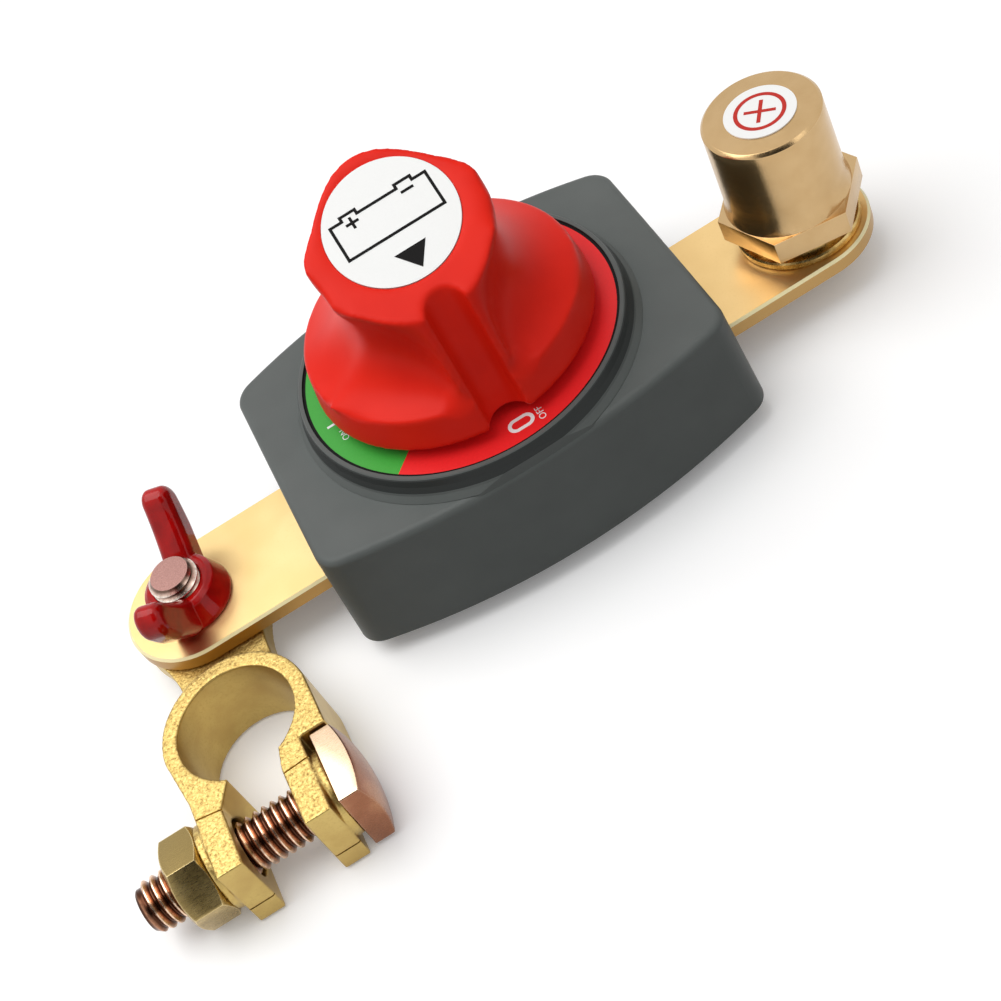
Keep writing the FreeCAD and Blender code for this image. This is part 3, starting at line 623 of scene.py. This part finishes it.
# knob: the pattern with its corners run together, then the round recess for the label
knobShape = {
    "voxel": 0.36, "passes": 11,
    "labelTilt": 23.0, "labelRadius": 9.9 * mm, "recessGap": 0.12 * mm, "recessDepth": 0.4 * mm,
    "cutterSides": 128, "cutterHeight": 6 * mm,
    "flankFrom": 10.0 * mm, "flankTo": 12.5 * mm, "flankLow": 44.0 * mm, "flankHigh": 50.0 * mm,
    "flankPush": 0.6 * mm,
    "easePasses": 150, "easeFactor": 0.6,
    "easePlaces": (  # x, y, z, reach and strength
        (14.5, -6.5, 35.5, 9.0, 1.0), (12.5, -5.5, 41.0, 9.0, 1.0),
        (12.6, -8.5, 49.8, 5.0, 1.0), (5.4, -20.4, 31.5, 2.5, 1.0),
        (13.2, -5.6, 52.0, 4.6, 0.14), (10.8, -0.3, 54.1, 4.6, 0.14),
        (6.5, 4.0, 56.0, 4.6, 0.14), (0.0, 6.2, 57.0, 4.6, 0.14)),
}


def rising(value, low, high):  # 0 below low, 1 above high
    return min(1.0, max(0.0, (value - low) / (high - low)))


def labelTop():  # the middle of the label's upper face, and the way that it looks
    low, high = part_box("knob_label")
    tilt = math.radians(knobShape["labelTilt"])
    facing = Vector((0, -math.sin(tilt), math.cos(tilt)))
    return (low + high) / 2 + facing * knobShape["recessDepth"] / 2, facing


def easePlaces(piece):  # runs the surfaces together around a few places, alike on both sides
    group = piece.vertex_groups.new(name="ease")
    for vertex in piece.data.vertices:
        weight = 0.0
        for x, y, z, reach, strength in knobShape["easePlaces"]:
            gap = math.hypot(abs(vertex.co.x) - x * mm, vertex.co.y - y * mm, vertex.co.z - z * mm)
            weight = max(weight, strength * min(1.0, 2 * (1 - gap / (reach * mm))))
        if weight > 0:
            group.add([vertex.index], weight, "REPLACE")
    applyModifier(
        piece, "SMOOTH", factor=knobShape["easeFactor"], iterations=knobShape["easePasses"],
        vertex_group="ease")
    piece.vertex_groups.clear()


def fillFlanks(piece):  # gives the top's two flanks back what the easing took
    for vertex in piece.data.vertices:
        share = rising(abs(vertex.co.x), knobShape["flankFrom"], knobShape["flankTo"])
        share *= rising(vertex.co.z, knobShape["flankLow"], knobShape["flankHigh"])
        vertex.co.x += math.copysign(knobShape["flankPush"] * share, vertex.co.x)


def makeKnob():
    piece = remeshed(copyNode("knob", "knobMoulding"), knobShape["voxel"], knobShape["passes"])
    easePlaces(piece)
    fillFlanks(piece)
    middle, facing = labelTop()
    clearSelection()
    radius = knobShape["labelRadius"] + knobShape["recessGap"]
    height = knobShape["cutterHeight"]
    bpy.ops.mesh.primitive_cylinder_add(vertices=knobShape["cutterSides"], radius=radius, depth=height)
    cutter = newest("recessCutter")
    moveTo(cutter, middle + facing * (height / 2 - knobShape["recessDepth"]), (knobShape["labelTilt"], 0, 0))
    subtract(piece, cutter)
    finishPiece(piece, "knob_group", finishes["redKnob"], ("knob",), angle=40)
    print("knob", len(piece.data.polygons))


makeKnob()


# marks on the label: a battery outline with its two signs, and the pointer
batterySign = {
    "left": -7.9, "right": 7.85, "low": -2.1, "high": 4.1,
    "postTop": 4.8, "posts": ((-6.0, -3.15), (2.8, 5.75)), "stroke": 0.44,
    "signHeight": 2.95, "signLength": 2.0, "signStroke": 0.42,
    "armShift": 2.0 / 3.5, "armLength": 2.0 / 2.4,
    "pointer": ((-2.2, -4.9), (2.8, -4.9), (0.4, -8.5)),
}


def batteryOutline():
    sign = batterySign
    points = [(sign["left"], sign["low"]), (sign["right"], sign["low"]), (sign["right"], sign["high"])]
    for low, high in reversed(sign["posts"]):
        points += [(high, sign["high"]), (high, sign["postTop"])]
        points += [(low, sign["postTop"]), (low, sign["high"])]
    return points + [(sign["left"], sign["high"])]


def makeLabelMarks():
    sign = batterySign
    left, right = [sum(post) / 2 for post in sign["posts"]]
    height, length, stroke = sign["signHeight"], sign["signLength"], sign["signStroke"]
    marks = join(
        "labelMarks",
        inkShape("battery", batteryOutline(), sign["stroke"]),
        inkBar("plusAcross", left, height, length, stroke),
        inkBar("plusUpLow", left, height - sign["armShift"], stroke, sign["armLength"]),
        inkBar("plusUpHigh", left, height + sign["armShift"], stroke, sign["armLength"]),
        inkBar("minus", right, height, length, stroke),
        inkShape("pointer", sign["pointer"]))
    middle, facing = labelTop()
    moveTo(marks, middle + facing * ink["lift"], (knobShape["labelTilt"], 0, 0))
    finishPiece(marks, "knob_group", finishes["blackInkAndShadow"])


makeLabelMarks()


# marks on the dial, which read along +Y: a large nought, a stroke and two small words, and a dark ring
# around the dial's edge that is a painted shadow
dialMarks = {
    "nought": (1.0, -22.0, 0), "noughtLong": 4.2, "noughtWide": 2.6, "noughtStroke": 0.58,
    "off": (4.15, -22.3, 90), "on": (-21.7, -4.7, 90), "wordTall": 1.12,
    "stroke": (-22.6, -1.6, 0), "strokeLong": 1.9, "strokeWide": 0.45,
    "edgeReach": 25.6, "edgeStroke": 0.45, "edgeSteps": 64,
}


def stadium(long, wide, steps=12):
    radius = wide / 2
    straight = long / 2 - radius
    points = []
    for step in range(2 * steps):
        angle = math.pi * step / steps + math.pi / (2 * steps)
        shift = straight if math.cos(angle) > 0 else -straight
        points.append((shift + radius * math.cos(angle), radius * math.sin(angle)))
    return points


def makeDialMarks():
    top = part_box("dial_red")[1].z + ink["lift"]
    outline = stadium(dialMarks["noughtLong"], dialMarks["noughtWide"])
    marks = {
        "nought": inkShape("nought", outline, dialMarks["noughtStroke"]),
        "off": inkWord("offWord", "OFF", dialMarks["wordTall"]),
        "on": inkWord("onWord", "ON", dialMarks["wordTall"]),
        "stroke": inkBar("onStroke", 0, 0, dialMarks["strokeLong"], dialMarks["strokeWide"]),
    }
    for name, piece in marks.items():
        x, y, turn = dialMarks[name]
        moveTo(piece, (x * mm, y * mm, top), (0, 0, turn))
    # a painted shadow: a dark ring where the dial meets the rim of its recess
    width = 2 * dialMarks["edgeReach"]
    edge = inkShape("dialEdgeShadow", stadium(width, width, dialMarks["edgeSteps"]), dialMarks["edgeStroke"])
    moveTo(edge, (0, 0, top - ink["lift"] - ink["thickness"] / 2))
    finishPiece(edge, "switch", finishes["blackInkAndShadow"])
    offMarks = join("offMarks", marks["nought"], marks["off"])
    finishPiece(offMarks, "switch", finishes["whiteInk"])
    onMarks = join("onMarks", marks["stroke"], marks["on"])
    finishPiece(onMarks, "switch", finishes["whiteInk"])


makeDialMarks()


# ring and plus on the post's label
postSign = {"radius": 4.05, "stroke": 0.64, "steps": 32, "arm": 4.9, "armStroke": 0.6, "turn": -35.0}


def makePostMarks():
    width = 2 * postSign["radius"]
    ring = inkShape("postRing", stadium(width, width, postSign["steps"]), postSign["stroke"])
    half = (postSign["arm"] - postSign["armStroke"]) / 2
    shift = (half + postSign["armStroke"]) / 2
    plus = [inkBar("plusAcross", 0, 0, postSign["arm"], postSign["armStroke"])]
    for way in (-1, 1):
        plus.append(inkBar("plusUp", 0, way * shift, postSign["armStroke"], half))
    marks = join("postMarks", ring, *plus)
    place = middleOf("post_label")
    place.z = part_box("post_label")[1].z + ink["lift"]
    moveTo(marks, place, (0, 0, postSign["turn"]))
    finishPiece(marks, "switch", finishes["redInk"])


makePostMarks()
print("marks made")


# rolled threads
thread = {
    "pitch": 1.41 * mm, "major": 3.98 * mm, "minor": 3.32 * mm, "flat": 0.14, "steps": 48, "spareTurns": 3,
    "screwGap": 0.01 * mm, "seamGap": 0.005 * mm, "endShare": 0.2,
    "boltLead": 1.1 * mm, "boltHeadHeight": 4.9 * mm, "studLead": 0.9 * mm, "studStart": 0.6 * mm,
}


def makeThread(name, low, high, lead):  # along +Z, closed at both heights, drawn in at the upper end
    pitch, major, minor = thread["pitch"], thread["major"], thread["minor"]
    flat = thread["flat"] * pitch
    profile = ((minor, 0.0), (minor, flat), (major, pitch / 2), (major, pitch / 2 + flat), (minor, pitch))
    piece = drawChain(name, [Vector((x, 0, z + low - 2 * pitch)) for x, z in profile])
    turns = math.ceil((high - low) / pitch) + thread["spareTurns"]
    applyModifier(
        piece, "SCREW", axis="Z", angle=math.tau, screw_offset=pitch, iterations=turns,
        steps=thread["steps"], render_steps=thread["steps"],
        use_merge_vertices=True, merge_threshold=thread["screwGap"], use_smooth_shade=False)
    editAll(piece)
    bpy.ops.mesh.remove_doubles(threshold=thread["seamGap"])
    objectMode()
    cutPlane(piece, (0, 0, high), (0, 0, 1), "ABOVE")
    cutPlane(piece, (0, 0, low), (0, 0, 1), "BELOW")
    outward(piece)
    for vertex in piece.data.vertices:  # the last turn is drawn in
        rise = (vertex.co.z - (high - lead)) / lead
        reach = math.hypot(vertex.co.x, vertex.co.y)
        limit = major * (1 - thread["endShare"] * rise)
        if rise > 0 and reach > limit:
            vertex.co.x *= limit / reach
            vertex.co.y *= limit / reach
    return piece


def makeClampBolt():
    low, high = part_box("clamp_bolt")
    middle = middleOf("clamp_bolt")
    seat = high.x - thread["boltHeadHeight"]
    shaft = makeThread("boltShaft", 0.0, seat - low.x, thread["boltLead"])
    moveTo(shaft, (seat, middle.y, middle.z), (0, -90, 0))
    head = copyNode("clamp_bolt", "boltHead")
    cutPlane(head, (seat, 0, 0), (1, 0, 0), "BELOW")
    bevelled(head, *brokenEdges["head"])
    finishPiece(head, "clamp_bolt_group", finishes["head"], ("clamp_bolt",), angle=20)
    finishPiece(shaft, "clamp_bolt_group", finishes["bolt"], ("clamp_bolt",), angle=32)


def makeStud():
    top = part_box("clamp_stud")[1].z
    middle = middleOf("clamp_stud")
    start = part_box("input_bar")[1].z + thread["studStart"]
    shaft = makeThread("studShaft", start, top, thread["studLead"])
    moveTo(shaft, (middle.x, middle.y, 0))
    foot = copyNode("clamp_stud", "studFoot")
    cutPlane(foot, (0, 0, start), (0, 0, 1), "ABOVE")
    piece = join("studWithThread", foot, shaft)
    finishPiece(piece, "stud_group", finishes["stud"], ("clamp_stud",), angle=32)


brokenEdges = {"head": (0.45, 3, 30), "nut": (0.22, 2, 30), "post": (0.18, 2, 25)}  # width, segments, angle
makeClampBolt()
makeStud()
print("threads made")


# hexagon nut and post with their edges broken
postFoot = {
    "height": 4.1 * mm, "cap": 9.72 * mm, "flats": 10.06 * mm,
    "heightSlack": 0.01 * mm, "capSlack": 0.1 * mm,
}


def makeNut():
    piece = bevelled(copyNode("clamp_nut", "hexagonNut"), *brokenEdges["nut"])
    finishPiece(piece, "clamp_nut_group", finishes["nut"], ("clamp_nut",), angle=20)


def makePost():
    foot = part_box("terminal_post")[0].z + postFoot["height"]
    middle = middleOf("terminal_post")
    piece = copyNode("terminal_post", "postCap")
    for vertex in piece.data.vertices:  # the cap's foot runs flush into the hexagon's flats
        across = vertex.co - middle
        reach = math.hypot(across.x, across.y)
        level = abs(vertex.co.z - foot) < postFoot["heightSlack"]
        if level and reach < postFoot["cap"] + postFoot["capSlack"]:
            vertex.co.x = middle.x + across.x * postFoot["flats"] / reach
            vertex.co.y = middle.y + across.y * postFoot["flats"] / reach
    bevelled(piece, *brokenEdges["post"])
    finishPiece(piece, "switch", finishes["post"], ("terminal_post",), angle=20)


makeNut()
makePost()


# castings and thick paint
castShape = {  # the grooves are where the jaws' blocks start, and the mould's parting line on their fronts
    "voxel": 0.3, "passes": 3,
    "wide": 0.3 * mm, "deep": 0.35 * mm, "front": -52.55 * mm, "top": 10.2 * mm, "parting": 0.3 * mm,
    "steps": ((-64.2, -42.4, 9.0, -10.0), (-50.6, -42.9, 9.0, 4.0)),
    "fronts": ((-65.3, 10.0), (-50.4, 11.0)),
}


def cutLine(piece, place, size, turn=0.0):
    clearSelection()
    bpy.ops.mesh.primitive_cube_add(size=1.0)
    cutter = newest("lineCutter")
    cutter.scale = size
    moveTo(cutter, place, (0, 0, turn))
    subtract(piece, cutter)


def makeClamp():
    piece = remeshed(copyNode("terminal_clamp", "castClamp"), castShape["voxel"], castShape["passes"])
    wide, deep = castShape["wide"], castShape["deep"]
    for x, y, length, turn in castShape["steps"]:
        cutLine(piece, (x * mm, y * mm, castShape["top"]), (length * mm, wide, 2 * deep), turn)
    for x, length in castShape["fronts"]:
        cutLine(piece, (x * mm, castShape["front"], castShape["parting"]), (length * mm, 2 * deep, wide))
    finishPiece(piece, "clamp_group", finishes["cast"], ("terminal_clamp",), angle=60)
    print("clamp", len(piece.data.polygons))


wings = {
    "voxel": 0.17, "passes": 2,
    "azimuth": 70.0, "start": 4.5, "reach": 14.7, "draw": 1.3 * mm, "rise": 1.3 * mm, "thin": 0.16,
    "low": 11.5 * mm, "high": 18.5 * mm,
}


def shapeWings(piece):  # the wings' upper edges stand a little steeper, and they thin out towards their tips
    middle = middleOf("wing_nut")
    turn = math.radians(wings["azimuth"])
    along = Vector((math.cos(turn), math.sin(turn), 0))
    across = Vector((-math.sin(turn), math.cos(turn), 0))
    for vertex in piece.data.vertices:
        out = (vertex.co - middle).dot(along)
        share = (abs(out) / mm - wings["start"]) / (wings["reach"] - wings["start"])
        if share > 0:
            side = (vertex.co - middle).dot(across)
            lift = share * rising(vertex.co.z, wings["low"], wings["high"])
            inward = along * math.copysign(wings["draw"] * lift, out)
            vertex.co -= inward + across * side * wings["thin"] * share
            vertex.co.z += wings["rise"] * lift


def makeWingNut():
    piece = remeshed(copyNode("wing_nut", "wingNut"), wings["voxel"], wings["passes"])
    shapeWings(piece)
    finishPiece(piece, "wing_nut_group", finishes["wing"], ("wing_nut",), angle=60)
    print("wing nut", len(piece.data.polygons))


makeClamp()
makeWingNut()
print("castings made")


# floor, light and camera
studio = {
    "floorGap": 0.2 * mm, "floorSize": 6.0, "floorShown": 0.93, "floorGlow": 0.13, "floorBounce": 0.22,
    "whiteFrom": 0.16, "whiteTo": 0.6,
    "floorRoughness": 0.9, "lampDistance": 0.75, "worldLight": 0.33,
    "keyPower": 4.7, "keySize": 0.75, "keyAzimuth": -120.0, "keyElevation": 66.0,
    "fillPower": 1.5, "fillSize": 0.8, "fillAzimuth": 20.0, "fillElevation": 64.0,
    "cardSize": 0.72, "cardDistance": 0.7, "cardAzimuth": -8.0, "cardElevation": 46.0, "cardTone": 0.03,
}


def shownRays(tree):  # 1 for the rays that carry the backdrop's own look
    rays = tree.nodes.new("ShaderNodeLightPath")
    seen = mathNode(tree, "MAXIMUM", rays.outputs["Is Camera Ray"], rays.outputs["Is Transmission Ray"])
    return mathNode(tree, "MAXIMUM", seen, rays.outputs["Is Glossy Ray"])


def addFloor():
    clearSelection()
    level = cadLow.z - studio["floorGap"]
    bpy.ops.mesh.primitive_plane_add(size=studio["floorSize"], location=(0, 0, level))
    floor = newest("floor")
    bpy.ops.object.transform_apply(location=True)
    material, tree, shader, place = startMaterial("paleFloor", grey(1.0), studio["floorRoughness"])
    seen = shownRays(tree)
    tone = mixColour(tree, seen, grey(studio["floorBounce"]), grey(studio["floorShown"]))
    tree.links.new(tone, shader.inputs["Base Color"])
    shader.inputs["Specular IOR Level"].default_value = 0.0
    shader.inputs["Emission Color"].default_value = grey(1.0)
    tree.links.new(mathNode(tree, "MULTIPLY", seen, studio["floorGlow"]), shader.inputs["Emission Strength"])
    white = tree.nodes.new("ShaderNodeEmission")
    far = ramp(tree, distance(tree, place), (studio["whiteFrom"], grey(0)), (studio["whiteTo"], grey(1)))
    hidden = mathNode(tree, "MULTIPLY", seen, far)
    mixShaders(tree, hidden, shader.outputs["BSDF"], white.outputs["Emission"], "Material Output")
    floor.data.materials.append(material)


def skyPlace(azimuth, elevation, distance):
    turn = math.radians(azimuth)
    tilt = math.radians(elevation)
    away = Vector((math.sin(turn) * math.cos(tilt), -math.cos(turn) * math.cos(tilt), math.sin(tilt)))
    return (cadLow + cadHigh) / 2 + away * distance, (-away).to_track_quat("-Z", "Y").to_euler()


def addLamp(name, power, size, azimuth, elevation):
    place, turn = skyPlace(azimuth, elevation, studio["lampDistance"])
    clearSelection()
    bpy.ops.object.light_add(type="AREA", location=place)
    lamp = bpy.context.object
    lamp.name = name
    lamp.data.energy = power
    lamp.data.size = size
    lamp.rotation_euler = turn


def addDarkCard():  # a dark patch of ceiling that only the metal's reflections show
    place, turn = skyPlace(studio["cardAzimuth"], studio["cardElevation"], studio["cardDistance"])
    clearSelection()
    bpy.ops.mesh.primitive_plane_add(size=studio["cardSize"], location=place, rotation=turn)
    card = newest("darkCard")
    material = bpy.data.materials.new("darkCard")
    material.use_nodes = True
    shader = material.node_tree.nodes["Principled BSDF"]
    shader.inputs["Base Color"].default_value = grey(studio["cardTone"])
    shader.inputs["Specular IOR Level"].default_value = 0.0
    card.data.materials.append(material)
    for rays in ("camera", "diffuse", "shadow", "transmission"):
        setattr(card, "visible_" + rays, False)


def addWorld():
    world = bpy.data.worlds.new("paleStudio")
    bpy.context.scene.world = world
    world.use_nodes = True
    tree = world.node_tree
    lit = tree.nodes["Background"]
    shown = tree.nodes.new("ShaderNodeBackground")
    for background, strength in ((lit, studio["worldLight"]), (shown, 1.0)):
        background.inputs["Color"].default_value = grey(1.0)
        background.inputs["Strength"].default_value = strength
    outputs = lit.outputs["Background"], shown.outputs["Background"]
    mixShaders(tree, shownRays(tree), *outputs, "World Output")


view = {
    "place": (-8.612, -208.064, 211.697), "tiltDegrees": (39.467, 20.867, -24.563),
    "lens": 67.148, "sensor": 36.0, "shiftAcross": 0.0011, "shiftUp": -0.0346, "nearest": 0.01,
}


def addCamera():
    data = bpy.data.cameras.new("camera")
    camera = bpy.data.objects.new("camera", data)
    bpy.context.collection.objects.link(camera)
    camera.location = Vector(view["place"]) * mm
    camera.rotation_euler = [math.radians(angle) for angle in view["tiltDegrees"]]
    data.lens = view["lens"]
    data.sensor_width = view["sensor"]
    data.shift_x = view["shiftAcross"]
    data.shift_y = view["shiftUp"]
    data.clip_start = view["nearest"]
    bpy.context.scene.camera = camera


addFloor()
addDarkCard()
for lamp in ("key", "fill"):
    addLamp(lamp + "Lamp", *[studio[lamp + word] for word in ("Power", "Size", "Azimuth", "Elevation")])
addWorld()
addCamera()
bpy.context.scene.view_settings.view_transform = "Standard"
print("studio ready")
